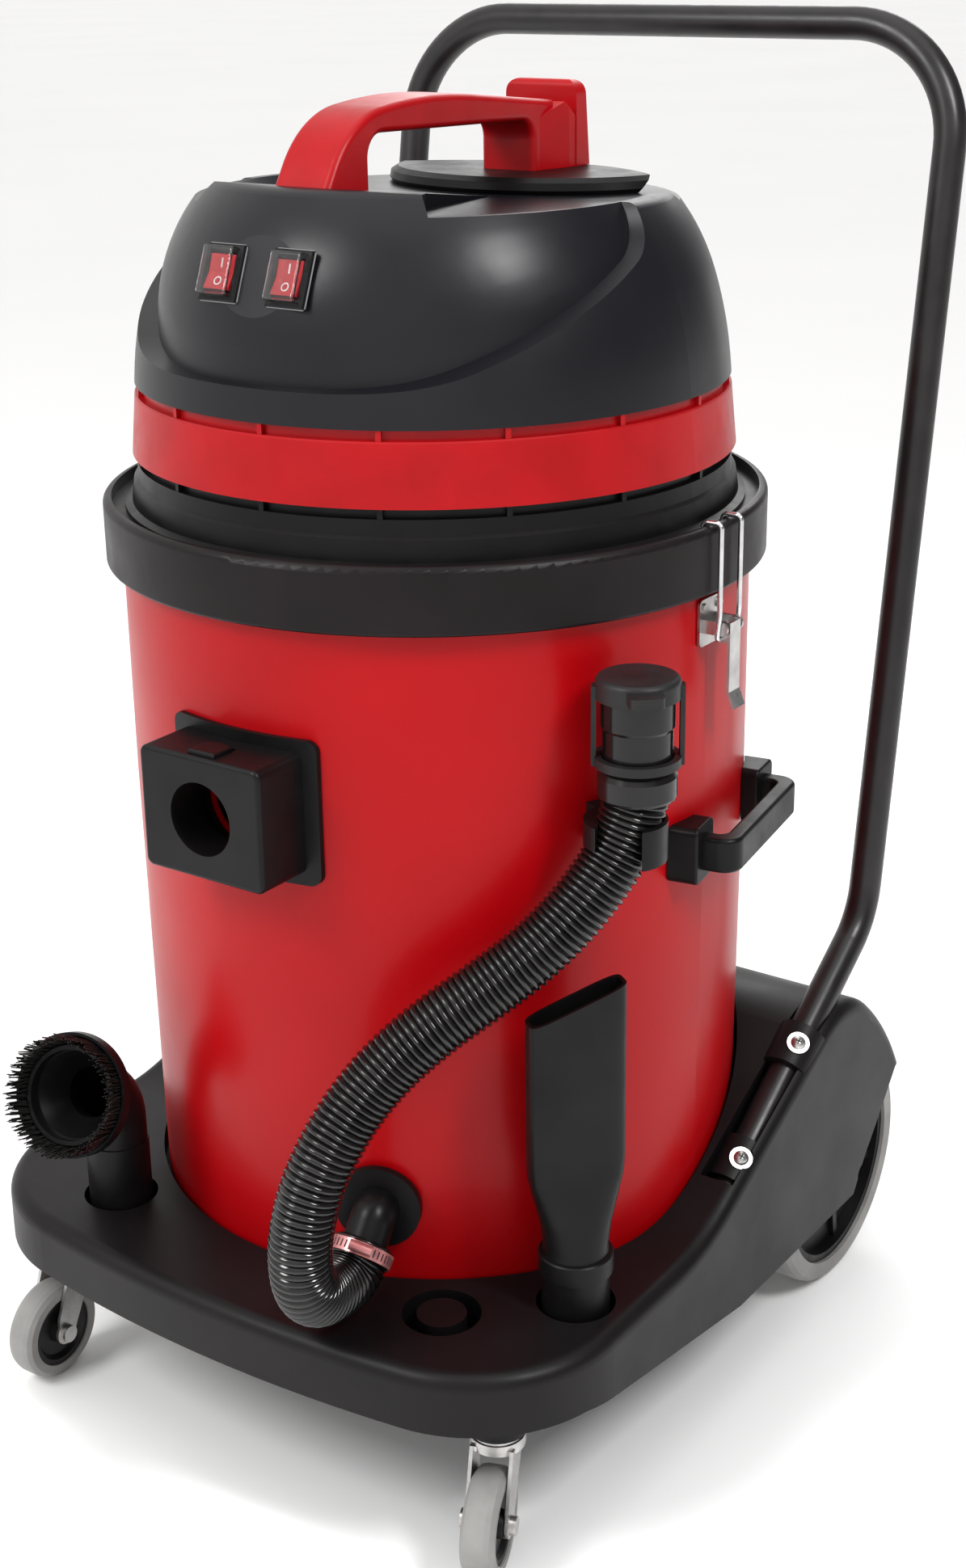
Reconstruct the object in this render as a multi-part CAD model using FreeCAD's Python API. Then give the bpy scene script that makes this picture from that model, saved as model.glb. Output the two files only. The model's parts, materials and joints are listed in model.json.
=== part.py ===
import FreeCAD, Part
import math
import os

# Shop vacuum: a painted tank on a four-wheel trolley, with a motor head held by
# two wire latches. All sizes are in millimetres.
# Everything is drawn round the tank's axis, with the floor at z = 0, and is moved by
# MIDDLE_Y when it is written, so that the origin lies midway between front and back.
# The suction inlet faces -Y, and +X is the side with the drain hose.
MIDDLE_Y = 11.85

# Tank
TANK_R = 220.0            # outside radius at the top
TANK_R_LOW = 216.8        # outside radius at the floor
TANK_WALL = 1.6
TANK_Z = 140.0            # underside of the tank's floor
TANK_TOP = 648.0
BEAD_R = 3.2              # rolled bead on the tank's top edge

# Trolley base
SKIRT_Z = 84.0            # lower edge of the skirt beside the rear wheels
SKIRT_FRONT_Z = 116.0     # and round the front; it slopes in between
SKIRT_SLOPE_Y = (-200.0, 10.0)
DECK_Z = 160.0            # top of the front deck
BASE_WALL = 4.0
BASE_HALF_X = 257.0
FRONT_Y = -294.0
REAR_Y = 310.0
SOCKET_R = 27.0           # tool sockets: ring-shaped wells round a post
SOCKET_POST_R = 17.0
SOCKET_FLOOR = 134.0
BRUSH_XY = (-140.0, -220.0)
SPARE_XY = (147.0, -214.0)
CREVICE_XY = (214.0, -152.0)

# Rear wheels
WHEEL_R = 96.0
WHEEL_Y = 203.0
WHEEL_IN_X = 207.0
WHEEL_OUT_X = 238.0
AXLE_R = 8.0

# Front casters
CASTER_R = 37.0
CASTER_HALF_W = 11.5
STEM_X = 197.0
STEM_Y = -222.0
TRAIL = 25.0              # the wheel's axle lies this far ahead of the stem
CASTER_TURN = {"right": 20.0, "left": 0.0}

# Push handle: bent tube
TUBE_R = 12.0
TUBE_WALL = 1.5
LEG_X = 238.0
LEG_SLOPE = 33.4          # of the low run that lies in the base, degrees
LEG_LOW = (0.0, 163.6)     # y and z of the tube's lower end
LEG_KNEE = (220.1, 308.7)
LEG_TOP = (320.0, 963.0)
KNEE_BEND = 58.0
TOP_BEND = 85.0
SCREW_RUNS = (33.5, 135.0)  # the screws' distances up the low run

# Motor head
RIM_Z = 624.0             # lower edge of the clamping rim
RIM_R = 231.5
RIM_TOP = 669.0
GROOVE_Z = 661.0          # floor of the rim's groove
RING_Z = 699.0            # red exhaust ring
RING_TOP = 740.0
DOME_Z = 747.0
DOME_R = 204.5
PLATEAU_Z = 868.0
PLATFORM_Z = 882.2        # front edge of the raised platform, which slopes to the rear
PLATFORM_Y = -136.0
PLATFORM_SLOPE = 7.1
DISH_Z = 861.0            # sunken top behind the platform
PLATE_TOP = 872.0         # top of the cord hook plate
PANEL_Y = -181.0          # the flat switch panel, at SWITCH_Z
PANEL_TILT = 21.7
SWITCH_Z = 833.0
SWITCH_X = 27.0

MOTOR_X = 84.0
MOTOR_Z = 671.0           # deck that the motors stand on

# Side handles, latches
HANDLE_OUT = 252.0
HANDLE_HALF = 67.0
HANDLE_BAR = 12.5
HANDLE_TURN = 9.3         # behind the machine's sides, degrees
HANDLE_Z = (435.5, 460.0)
PIN_X = 236.0             # lever's pivot
PIN_Z = 600.0
SEAT_DX = -2.0            # the bail's seat in the lever, from the pivot
SEAT_DZ = -7.0
WIRE_R = 1.75
BAIL_HALF = 13.0
RIVET_R = 2.0
RIVET_Y = (-9.5, 9.5)
RIVET_Z = 612.0

# Inlet and drain
INLET_Z = 500.0
INLET_BORE = 25.0
INLET_BACK_Y = -232.0     # the socket's bore ends here, and a wider recess faces the tank
DRAIN_TURN = 23.3         # degrees from the front, towards +X
DRAIN_Z = 217.0
HOSE_R = 21.0
HOSE_ROUTE = [
    (93, -226, 202), (94, -239, 189), (95, -256, 185), (97, -279, 190), (99, -295, 203),
    (101, -303, 223), (103, -304, 251), (107, -293, 289), (116, -268, 325), (131, -244, 354),
    (152, -220, 379), (175, -194, 400), (198, -167, 424), (216, -141, 453), (229, -117, 487),
    (233, -110, 516),
]
CUFF_LEN = 66.0

GAP = 0.3                 # between faces of pieces that move past each other
PIN_FIT = 0.05            # radial play of pins and axles

V = FreeCAD.Vector
X, Y, Z = V(1, 0, 0), V(0, 1, 0), V(0, 0, 1)
NODES = {}


# ---------------------------------------------------------------- helpers

def add(name, *shapes):
    """Keep a node: one solid, or several that form one group."""
    NODES[name] = shapes[0] if len(shapes) == 1 else Part.makeCompound(list(shapes))


def cyl(r, start, along, length):
    return Part.makeCylinder(r, length, V(*start), V(*along))


def post(r, z0, z1, x=0.0, y=0.0):
    return Part.makeCylinder(r, z1 - z0, V(x, y, z0))


def ring(ro, ri, z0, z1, x=0.0, y=0.0):
    return post(ro, z0, z1, x, y).cut(post(ri, z0 - 1, z1 + 1, x, y))


def box(x0, x1, y0, y1, z0, z1):
    return Part.makeBox(x1 - x0, y1 - y0, z1 - z0, V(x0, y0, z0))


def turned(points):
    """Revolve a closed outline of (radius, height) points about the Z axis."""
    wire = Part.makePolygon([V(r, 0, z) for r, z in list(points) + [points[0]]])
    return Part.Face(wire).revolve(V(0, 0, 0), Z, 360)


def revolved(face):
    """Revolve a face, drawn as (radius, height) in the XY plane, about the Z axis."""
    face = face.copy()
    face.rotate(V(0, 0, 0), X, 90)
    return face.revolve(V(0, 0, 0), Z, 360)


def walk(start, heading, moves):
    """Edges of an outline in the XY plane. A move is a length, or (radius, turn)."""
    edges = []
    x, y = start
    for move in moves:
        a = math.radians(heading)
        if isinstance(move, tuple):
            radius, turn = move
            side = 1 if turn > 0 else -1
            cx = x - side * radius * math.sin(a)
            cy = y + side * radius * math.cos(a)
            spots = []
            for part in (0.5, 1.0):
                b = math.radians(heading + turn * part)
                spots.append(V(cx + side * radius * math.sin(b),
                               cy - side * radius * math.cos(b), 0))
            edges.append(Part.Arc(V(x, y, 0), spots[0], spots[1]).toShape())
            x, y = spots[1].x, spots[1].y
            heading += turn
        else:
            end = V(x + move * math.cos(a), y + move * math.sin(a), 0)
            edges.append(Part.makeLine(V(x, y, 0), end))
            x, y = end.x, end.y
    return edges


def closed(edges, extra=()):
    """A face from edges, closed with straight lines through extra points."""
    here = edges[-1].Vertexes[-1].Point
    first = edges[0].Vertexes[0].Point
    edges = list(edges)
    for point in [V(x, y, 0) for x, y in extra] + [first]:
        if here.distanceToPoint(point) > 1e-6:
            edges.append(Part.makeLine(here, point))
        here = point
    return Part.Face(Part.Wire(edges))


def slab(face, lo, hi):
    """A prism of an XY outline between two heights."""
    solid = face.extrude(V(0, 0, hi - lo))
    solid.translate(V(0, 0, lo))
    return solid


def side_slab(face, half):
    """A prism of a (y, z) outline, from x = -half to +half."""
    solid = face.extrude(V(0, 0, 2 * half))
    turn = FreeCAD.Rotation(V(1, 1, 1), 120)
    solid.Placement = FreeCAD.Placement(V(-half, 0, 0), turn)
    return solid


def spun(shape, degrees, x=0.0, y=0.0):
    out = shape.copy()
    out.rotate(V(x, y, 0), Z, degrees)
    return out


def mirrored(shape):
    return shape.mirror(V(0, 0, 0), X)


def route_wire(points, radii):
    """Straight runs joined by tangent arcs, one radius for each inner point."""
    points = [V(*p) for p in points]
    edges = []
    here = points[0]
    for i, radius in enumerate(radii, 1):
        back = (points[i - 1] - points[i]).normalize()
        ahead = (points[i + 1] - points[i]).normalize()
        turn = math.pi - back.getAngle(ahead)
        cut = radius * math.tan(turn / 2)
        a = points[i] + back * cut
        b = points[i] + ahead * cut
        middle = (back + ahead).normalize()
        inset = radius / math.cos(turn / 2) - radius
        if here.distanceToPoint(a) > 1e-4:
            edges.append(Part.LineSegment(here, a).toShape())
        edges.append(Part.Arc(a, points[i] + middle * inset, b).toShape())
        here = b
    edges.append(Part.LineSegment(here, points[-1]).toShape())
    return Part.Wire(edges)


def pipe(wire, r):
    start = wire.Edges[0].Vertexes[0].Point
    along = wire.Edges[0].tangentAt(wire.Edges[0].FirstParameter)
    ring_edge = Part.Wire([Part.makeCircle(r, start, along)])
    return wire.makePipeShell([ring_edge], True, True)


def rounded(shape, r, pick):
    return shape.makeFillet(r, [e for e in shape.Edges if pick(e)])


def radial(degrees):
    """Unit vector that points out of the tank, degrees from the front to +X."""
    a = math.radians(degrees)
    return V(math.sin(a), -math.cos(a), 0)


def on_leg(distance, side=1):
    """A point on the axis of the push handle's low run."""
    a = math.radians(LEG_SLOPE)
    return V(side * LEG_X, LEG_LOW[0] + distance * math.cos(a), LEG_LOW[1] + distance * math.sin(a))


LEG_ALONG = V(0, math.cos(math.radians(LEG_SLOPE)), math.sin(math.radians(LEG_SLOPE)))


SCREW_TILT = 25.0


def screw_out(side):
    """Direction in which the handle screws point out of the base."""
    up = V(0, -LEG_ALONG.z, LEG_ALONG.y)
    return up * math.cos(math.radians(SCREW_TILT)) + V(side, 0, 0) * math.sin(math.radians(SCREW_TILT))


# ---------------------------------------------------------------- trolley base

def plan_face():
    corner = (110.8, 81.5)
    nose = (1100.0, 8.5)
    long_side = 434.3
    edges = walk((0, FRONT_Y), 0, [nose, corner, long_side, (48.0, 90)])
    x, y = edges[-1].Vertexes[-1].Point.x, edges[-1].Vertexes[-1].Point.y
    edges += walk((x, y), 180, [2 * x, (48.0, 90), long_side, corner, nose])
    return Part.Face(Part.Wire(edges))


def profile_face():
    """Side outline in (y, z): deck, ramp beside the tank, wheel housing."""
    edges = walk((-330, DECK_Z), 0, [236.0, (160.0, 27.4), 162.0, (75.0, -67.4), (260.0, -32.0), 80.0])
    return closed(edges, [(-330, SKIRT_Z - 60)])


# Outline (y, z) of the open side of the wheel housing
WHEEL_OPENING = [(186, SKIRT_Z - 5), (188, SKIRT_Z), (206, 110), (230, 137), (256, 168), (330, 168), (330, SKIRT_Z - 5)]


def make_base():
    outer = slab(plan_face(), SKIRT_Z, 300).common(side_slab(profile_face(), 300))
    inner_plan = plan_face().makeOffset2D(-BASE_WALL)
    inner_side = profile_face().makeOffset2D(-BASE_WALL)
    inner = slab(inner_plan, SKIRT_Z - 20, 300).common(side_slab(inner_side, 300))
    top_edges = [e for e in outer.Edges if e.BoundBox.ZMin > DECK_Z - 1 and not is_across(e)]
    outer = outer.makeFillet(11, top_edges)
    seat_r = TANK_R + 0.4
    inner = inner.cut(post(seat_r + BASE_WALL, TANK_Z - BASE_WALL, 320))
    base = outer.cut(inner).cut(post(seat_r, TANK_Z, 320))
    base = base.fuse(make_sockets()).cut(make_socket_wells())
    base = base.cut([leg_channel(-1), leg_channel(1)])
    base = base.fuse(make_leg_beds(outer)).cut(make_leg_bores())
    base = base.fuse(make_axle_ribs(outer))
    opening = Part.makePolygon([V(y, z, 0) for y, z in WHEEL_OPENING + WHEEL_OPENING[:1]])
    base = base.cut(side_slab(Part.Face(opening), 262).cut(box(-240, 240, 0, 400, 0, 400)))
    for side in (-1, 1):
        wheel_room = cyl(WHEEL_R + 5, (side * (WHEEL_IN_X - 4), WHEEL_Y, WHEEL_R), (side, 0, 0), 46)
        base = base.cut(wheel_room)
    base = base.cut(cyl(AXLE_R + PIN_FIT, (-300, WHEEL_Y, WHEEL_R), (1, 0, 0), 600))
    y0, y1 = SKIRT_SLOPE_Y
    rising = [V(0, -330, SKIRT_Z - 1), V(0, -330, SKIRT_FRONT_Z), V(0, y0, SKIRT_FRONT_Z), V(0, y1, SKIRT_Z - 1)]
    rising = Part.Face(Part.makePolygon([V(p.y, p.z, 0) for p in rising + [rising[0]]]))
    base = base.cut(side_slab(rising, 300)).fuse(make_caster_bosses())
    for side in (-1, 1):
        base = base.cut(post(STEM_R + PIN_FIT, CROWN_TOP, STEM_TOP + 1, side * STEM_X, STEM_Y))
    add("base_trolley", base.removeSplitter())


def is_across(edge):
    """True for the outline edges that run along X over the whole width."""
    return edge.BoundBox.YLength < 1 and edge.BoundBox.XLength > 300


def make_sockets():
    cups = [post(SOCKET_R + 4, SOCKET_FLOOR - 4, DECK_Z - 1, *xy) for xy in (BRUSH_XY, SPARE_XY, CREVICE_XY)]
    inside = post(TANK_R + 2, 100, 200)
    return [cup.cut(inside) for cup in cups]


def make_socket_wells():
    return [ring(SOCKET_R, SOCKET_POST_R, SOCKET_FLOOR, DECK_Z + 20, *xy)
            for xy in (BRUSH_XY, SPARE_XY, CREVICE_XY)]


SADDLE_LEN = 34.0
SADDLE_R = TUBE_R + 6
SCREW_SEAT = SADDLE_R - 0.8   # the screws' washers lie this far from the tube's axis
BED_R = 20.0
BED_LEN = 220.0


def leg_channel(side):
    """Room above the tube's low run, which leaves it open between the saddles."""
    width = 2 * TUBE_R + 2
    block = Part.makeBox(width, BED_LEN, 90)
    start = on_leg(10, side) - V(width / 2, 0, 0)
    block.Placement = FreeCAD.Placement(start, FreeCAD.Rotation(X, LEG_SLOPE))
    return block


def make_leg_beds(outer):
    """Grooved beds under the tube's low runs, with saddles over them."""
    parts = []
    for side in (-1, 1):
        bed = cyl(BED_R, on_leg(-12, side), LEG_ALONG, BED_LEN).common(outer)
        groove = cyl(TUBE_R + 3.5, on_leg(-6, side), LEG_ALONG, BED_LEN + 20)
        parts.append(bed.cut(groove).cut(leg_channel(side)))
        for run in SCREW_RUNS:
            parts.append(cyl(SADDLE_R, on_leg(run - SADDLE_LEN / 2, side), LEG_ALONG, SADDLE_LEN))
    return parts


def make_leg_bores():
    cuts = []
    for side in (-1, 1):
        cuts.append(cyl(TUBE_R + 0.15, on_leg(-1, side), LEG_ALONG, BED_LEN + 60))
        for run in SCREW_RUNS:
            out = screw_out(side)
            cuts.append(cyl(SCREW_R + PIN_FIT, on_leg(run, side), out, 40))
            cuts.append(cyl(WASHER_R + 0.6, on_leg(run, side) + out * SCREW_SEAT, out, 30))
    return cuts


def make_axle_ribs(outer):
    """Hangers under the base that carry the rear axle."""
    ribs = []
    tank = post(TANK_R + 3, TANK_Z - 3, 320)
    for x in (-184.0, -150.0, 142.0, 176.0):
        hanger = box(x, x + 8, WHEEL_Y - 22, WHEEL_Y + 22, SKIRT_Z, 300).common(outer)
        ribs.append(hanger.fuse(box(x, x + 8, WHEEL_Y - 22, WHEEL_Y + 22, WHEEL_R - 16, SKIRT_Z)).cut(tank))
    return ribs


STEM_R = 6.0
CROWN_TOP = 91.8
STEM_TOP = 138.0


def make_caster_bosses():
    return [post(21, CROWN_TOP + 4.2, DECK_Z - 2, side * STEM_X, STEM_Y) for side in (-1, 1)]


# ---------------------------------------------------------------- push handle

SCREW_R = 3.0
WASHER_R = 8.5


def make_push_handle():
    low = on_leg(0)
    points = [(LEG_X, low.y, low.z), (LEG_X, *LEG_KNEE), (LEG_X, *LEG_TOP),
              (-LEG_X, *LEG_TOP), (-LEG_X, *LEG_KNEE), (-LEG_X, low.y, low.z)]
    wire = route_wire(points, [KNEE_BEND, TOP_BEND, TOP_BEND, KNEE_BEND])
    tube = pipe(wire, TUBE_R).cut(pipe(wire, TUBE_R - TUBE_WALL))
    screws = []
    for side in (-1, 1):
        for run in SCREW_RUNS:
            start = on_leg(run, side)
            out = screw_out(side)
            tube = tube.cut(cyl(SCREW_R + PIN_FIT, start, out, 30))
            screws.append(make_screw(start + out * SCREW_SEAT, out, SCREW_R, 14, WASHER_R))
    add("push_handle", tube)
    add("handle_screws", *screws)


def make_screw(face, out, r, length, washer_r):
    """Round-headed screw with a washer that lies on the given face."""
    washer = cyl(washer_r, face + out * 0.1, out, 1.4)
    washer = washer.fuse(cyl(r, face - out * length, out, length + 1))
    head = Part.makeSphere(6.2, face - out * 1.2).common(cyl(7, face + out * 1.0, out, 8))
    return washer.fuse(head).removeSplitter()


# ---------------------------------------------------------------- wheels

def make_rear_wheels():
    """Tyre, spoked hub and cap for each side, built round the wheel's own axis."""
    width = WHEEL_OUT_X - WHEEL_IN_X
    tyre = turned([(80, 0), (92, 0), (95, 3), (96, 8), (96, width - 8), (95, width - 3), (92, width), (80, width)])
    rim = ring(79.9, 74, 3, width - 3)
    web = ring(76, 20, width / 2 - 3, width / 2 + 3)
    boss = ring(23, AXLE_R + PIN_FIT, 2, width - 3)
    hub = rim.fuse([web, boss])
    for i in range(6):
        spoke = box(18, 76, -3, 3, 6, width - 8)
        hub = hub.fuse(spun(spoke, 60 * i + 10))
    hub = hub.cut(post(AXLE_R + PIN_FIT, -1, width + 1)).removeSplitter()
    cap = post(17, width - 2.6, width + 3).cut(post(AXLE_R + PIN_FIT, width - 3, width - 0.5))
    cap = rounded(cap, 2.5, lambda e: e.BoundBox.ZMin > width + 2)
    for solid in (tyre, hub, cap):
        solid.rotate(V(0, 0, 0), Y, 90)
        solid.translate(V(WHEEL_IN_X, WHEEL_Y, WHEEL_R))
    for label, solid in (("tyre", tyre), ("hub", hub)):
        add(f"rear_{label}_right", solid)
        add(f"rear_{label}_left", mirrored(solid))
    add("axle_caps", cap, mirrored(cap))
    end = WHEEL_OUT_X - 1.0
    add("rear_axle", cyl(AXLE_R, (-end, WHEEL_Y, WHEEL_R), (1, 0, 0), 2 * end))


def make_casters():
    stems = []
    for name, side in (("right", 1), ("left", -1)):
        x, y = side * STEM_X, STEM_Y
        axle_y = y - TRAIL
        turn = side * CASTER_TURN[name]
        w = CASTER_HALF_W
        tyre = turned([(27, -w), (33, -w), (36, -w + 2.5), (37, -w + 6), (37, w - 6), (36, w - 2.5), (33, w), (27, w)])
        hub = turned([(26.9, -w + 1.5), (26.9, w - 1.5), (23, w - 1.5), (20, w - 5), (10, w - 5), (9, w),
                      (4 + PIN_FIT, w), (4 + PIN_FIT, -w), (9, -w), (10, -w + 5), (20, -w + 5), (23, -w + 1.5)])
        fork = make_fork(x, y, axle_y)
        axle = cyl(4, (x - w - 6, axle_y, CASTER_R), (1, 0, 0), 2 * w + 12)
        for end in (-1, 1):
            nut = cyl(6.5, (x + end * (w + 3.6), axle_y, CASTER_R), (end, 0, 0), 4)
            axle = axle.fuse(nut)
        for label, solid in (("tyre", tyre), ("hub", hub)):
            piece = solid.copy()
            piece.rotate(V(0, 0, 0), Y, 90)
            piece.translate(V(x, axle_y, CASTER_R))
            add(f"caster_{label}_{name}", spun(piece, turn, x, y))
        add(f"caster_fork_{name}", spun(fork, turn, x, y))
        add(f"caster_axle_{name}", spun(axle.removeSplitter(), turn, x, y))
        stem = post(STEM_R, 88, STEM_TOP, x, y).fuse(post(18, 92, CROWN_TOP + 4.1, x, y))
        stems.append(stem.fuse(post(9, 78.5, 82.6, x, y)).fuse(post(STEM_R, 80, 90, x, y)).removeSplitter())
    add("caster_stems", *stems)


def make_fork(x, y, axle_y):
    """Pressed fork: a crown under the stem's plate and two tapering legs."""
    w = CASTER_HALF_W + 1.0
    crown = post(19, 84, 91.7, x, y)
    crown = crown.fuse(box(x - w - 2.5, x + w + 2.5, y - 16, y + 12, 84, 88))
    legs = []
    for lo in (x - w - 2.5, x + w):
        outline = [V(lo, y - 16, 88), V(lo, y + 12, 88), V(lo, y + 6, 78), V(lo, axle_y + 8, 34),
                   V(lo, axle_y - 7, 32), V(lo, axle_y - 6, 50)]
        leg = Part.Face(Part.makePolygon(outline + [outline[0]])).extrude(V(2.5, 0, 0))
        legs.append(leg.fuse(cyl(9, (lo, axle_y, CASTER_R), (1, 0, 0), 2.5)))
    fork = crown.fuse(legs).cut(cyl(4 + PIN_FIT, (x - 40, axle_y, CASTER_R), (1, 0, 0), 80))
    return fork.cut(post(STEM_R + PIN_FIT, 70, 95, x, y)).removeSplitter()


# ---------------------------------------------------------------- tank

def make_tank():
    t = TANK_WALL
    wall = turned([(0, TANK_Z), (TANK_R_LOW - 6, TANK_Z), (TANK_R_LOW - 1, TANK_Z + 3), (TANK_R_LOW, TANK_Z + 8),
                   (TANK_R, TANK_Z + 330), (TANK_R, TANK_TOP), (TANK_R - t, TANK_TOP),
                   (TANK_R - t, TANK_Z + 330), (TANK_R_LOW - t, TANK_Z + 9), (TANK_R_LOW - 7, TANK_Z + t),
                   (0, TANK_Z + t)])
    bead = Part.makeTorus(TANK_R - 1, BEAD_R, V(0, 0, TANK_TOP))
    tank = wall.fuse(bead)
    out = radial(DRAIN_TURN)
    tank = tank.cut(cyl(INLET_BORE + 1, (0, -TANK_R - 20, INLET_Z), (0, 1, 0), 60))
    tank = tank.cut(cyl(16, out * (TANK_R - 20) + V(0, 0, DRAIN_Z), out, 40))
    for side in (-1, 1):
        for y in RIVET_Y:
            tank = tank.cut(cyl(RIVET_R + PIN_FIT, (side * (TANK_R - 6), y, RIVET_Z), (side, 0, 0), 12))
    add("tank", tank.removeSplitter())
    top = TANK_TOP + BEAD_R + 0.1
    add("tank_gasket", turned([(TANK_R - 8, top), (TANK_R + 4, top), (TANK_R + 4, top + 4), (TANK_R - 8, top + 4)]))


def outside_tank(shape, gap=GAP):
    """The part of a shape that lies outside the tank's wall."""
    return shape.cut(post(TANK_R + gap, 0, 800))


def make_side_handles():
    z0, z1 = HANDLE_Z
    reach = HANDLE_OUT - 200
    face = closed(walk((200, -HANDLE_HALF), 0, [reach - 14, (14, 90), 2 * HANDLE_HALF - 28, (14, 90), reach - 14]))
    inner_half = HANDLE_HALF - HANDLE_BAR
    inner = closed(walk((200, -inner_half), 0, [reach - HANDLE_BAR - 6, (6, 90), 2 * inner_half - 12, (6, 90),
                                                reach - HANDLE_BAR - 6]))
    loop = slab(face, z0, z1).cut(slab(inner, z0 - 1, z1 + 1))
    loop = rounded(loop, 3, lambda e: e.BoundBox.ZLength < 0.1 and e.BoundBox.XMax > 205)
    for y in (-HANDLE_HALF + 6, HANDLE_HALF - 6):
        foot = box(200, 228, y - 16, y + 16, z0 - 8, z1 + 8)
        foot = rounded(foot, 5, lambda e: e.BoundBox.XLength > 5)
        foot = rounded(foot, 2, lambda e: e.BoundBox.XMin > 227.9)
        loop = loop.fuse(foot)
    loop = spun(outside_tank(loop).removeSplitter(), HANDLE_TURN)
    add("side_handle_right", loop)
    add("side_handle_left", mirrored(loop))


# ---------------------------------------------------------------- latches

def tube_between(points, r, bend):
    return pipe(route_wire(points, [bend] * (len(points) - 2)), r)


def make_latches():
    seat = (PIN_X + SEAT_DX, PIN_Z + SEAT_DZ)
    plate = box(TANK_R + GAP, TANK_R + 2.3, -15, 15, 586, 618)
    plate = rounded(plate, 4, lambda e: e.BoundBox.XLength > 1.5)
    rivets = []
    for y in RIVET_Y:
        rivet = cyl(3.4, (TANK_R + 2.35, y, RIVET_Z), (1, 0, 0), 1.5)
        rivets.append(rivet.fuse(cyl(RIVET_R, (TANK_R - 3, y, RIVET_Z), (1, 0, 0), 6)))
    ears = []
    for y in (-11.0, 9.0):
        ear = box(TANK_R + 1.5, PIN_X, y, y + 2, PIN_Z - 4.6, PIN_Z + 4.6)
        ears.append(ear.fuse(cyl(4.6, (PIN_X, y, PIN_Z), (0, 1, 0), 2)))
    bracket = plate.fuse(ears).cut(cyl(1.95, (PIN_X, -20, PIN_Z), (0, 1, 0), 40))
    for y in RIVET_Y:
        bracket = bracket.cut(cyl(RIVET_R + PIN_FIT, (TANK_R - 3, y, RIVET_Z), (1, 0, 0), 6))
    pin = cyl(1.9, (PIN_X, -11, PIN_Z), (0, 1, 0), 22)

    lever = box(PIN_X + 2.6, PIN_X + 4.6, -7, 7, 556, 604)
    tip = box(PIN_X + 2.6, PIN_X + 4.6, -7, 7, 544, 556)
    tip.rotate(V(PIN_X + 2.6, 0, 556), Y, -24)
    lever = lever.fuse(tip)
    for y in (-7.0, 5.0):
        cheek = cyl(4.6, (PIN_X, y, PIN_Z), (0, 1, 0), 2).fuse(cyl(3.6, (seat[0], y, seat[1]), (0, 1, 0), 2))
        cheek = cheek.fuse(box(PIN_X, PIN_X + 4.6, y, y + 2, seat[1] - 3, PIN_Z + 4))
        lever = lever.fuse(cheek.fuse(box(seat[0], PIN_X + 4.6, y, y + 2, seat[1] - 3.2, PIN_Z)))
    lever = lever.cut(cyl(1.95, (PIN_X, -20, PIN_Z), (0, 1, 0), 40))
    lever = lever.cut(cyl(WIRE_R + PIN_FIT, (seat[0], -20, seat[1]), (0, 1, 0), 40)).removeSplitter()

    out_x = RIM_R + 4.3
    hook_z = RIM_TOP + WIRE_R + 0.4
    bar = (RIM_R - 9.2, GROOVE_Z + WIRE_R + 0.4)
    h = BAIL_HALF
    points = [(seat[0], 0, seat[1]), (seat[0], h, seat[1]), (out_x, h, seat[1] + 17), (out_x, h, hook_z),
              (bar[0], h, hook_z), (bar[0], h, bar[1]), (bar[0], -h, bar[1]), (bar[0], -h, hook_z),
              (out_x, -h, hook_z), (out_x, -h, seat[1] + 17), (seat[0], -h, seat[1]), (seat[0], -0.01, seat[1])]
    wire = route_wire(points, [3, 8, 3.5, 3.5, 3, 3, 3.5, 3.5, 8, 3])
    bail = pipe(wire, WIRE_R)
    for label, solid in (("bracket", bracket), ("lever", lever), ("bail", bail)):
        add(f"latch_{label}_right", solid)
        add(f"latch_{label}_left", mirrored(solid))
    rivets.append(pin)
    add("latch_rivets", *rivets, *[mirrored(rivet) for rivet in rivets])


# ---------------------------------------------------------------- inlet and drain

def make_inlet():
    block = box(-50, 50, -262, -200, INLET_Z - 42, INLET_Z + 42)
    block = rounded(block, 6, lambda e: e.BoundBox.YLength > 10)
    block = rounded(block, 3, lambda e: e.BoundBox.YMax < -261)
    flange = box(-60, 60, -228, -200, INLET_Z - 50, INLET_Z + 50)
    flange = rounded(flange, 8, lambda e: e.BoundBox.YLength > 10)
    flange = flange.common(post(TANK_R + 4, 400, 600))
    body = outside_tank(block.fuse(flange))
    body = body.cut(cyl(INLET_BORE, (0, -300, INLET_Z), (0, 1, 0), 120))
    body = body.cut(cyl(INLET_BORE + 5, (0, INLET_BACK_Y, INLET_Z), (0, 1, 0), 30))
    body = body.cut(box(-11.3, 11.3, -258, -236, INLET_Z + 30, INLET_Z + 60))
    add("inlet_block", body.removeSplitter())
    wedge = [V(-11, -258 + GAP, 0), V(11, -258 + GAP, 0), V(11, -240, 0), V(0, -236.5, 0), V(-11, -240, 0)]
    button = slab(Part.Face(Part.makePolygon(wedge + [wedge[0]])), INLET_Z + 34, INLET_Z + 45)
    add("release_button", rounded(button, 1.5, lambda e: e.BoundBox.ZMin > INLET_Z + 44))


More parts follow.
